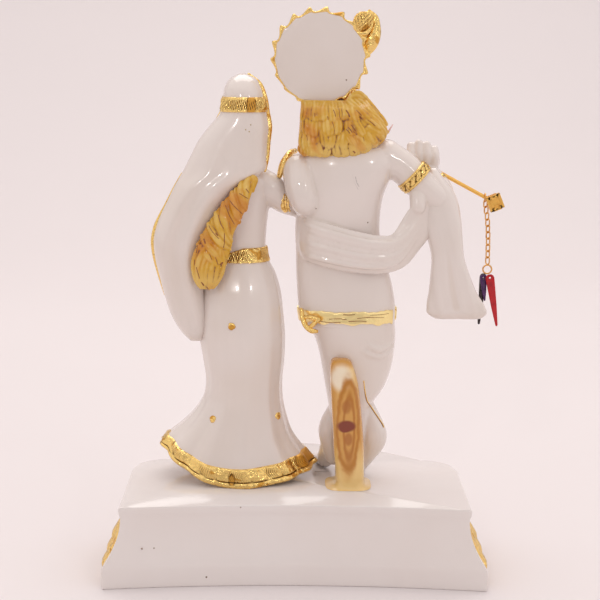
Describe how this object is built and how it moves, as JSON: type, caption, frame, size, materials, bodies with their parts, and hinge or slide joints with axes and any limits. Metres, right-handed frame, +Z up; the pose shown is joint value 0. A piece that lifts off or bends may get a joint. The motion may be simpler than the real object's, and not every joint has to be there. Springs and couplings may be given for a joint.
{
  "type": "radha krishna statue",
  "caption": "Glazed white porcelain radha krishna statue on a bow-fronted plinth, with gold bands, a brass flute and a fine chain with hanging drops.",
  "frame": {"origin": "middle of the plinth's underside, halfway between its ends", "axes": "+Z up from the plinth's underside, +Y the way the figures face, +X towards the end where the flute's chain hangs"},
  "size_m": [0.1719, 0.1059, 0.2397],
  "materials": {
    "plinth_glaze": "white glaze, gold leaves on the ends and front",
    "white_glaze": "glossy white glaze with gold lustre bands and ochre painted hair",
    "gold_brass": "gold plated, polished",
    "chain_brass": "gold plated",
    "ring_brass": "gold plated",
    "red_plastic": "glossy",
    "purple_plastic": "glossy",
    "dark_plastic": "glossy"
  },
  "bodies": {
    "root": {"plinth": "plinth_glaze", "figures": "white_glaze", "flute": "gold_brass", "chain": "chain_brass", "ring": "ring_brass", "drop_red": "red_plastic", "drop_purple": "purple_plastic", "drop_dark": "dark_plastic"}
  },
  "joints": []
}
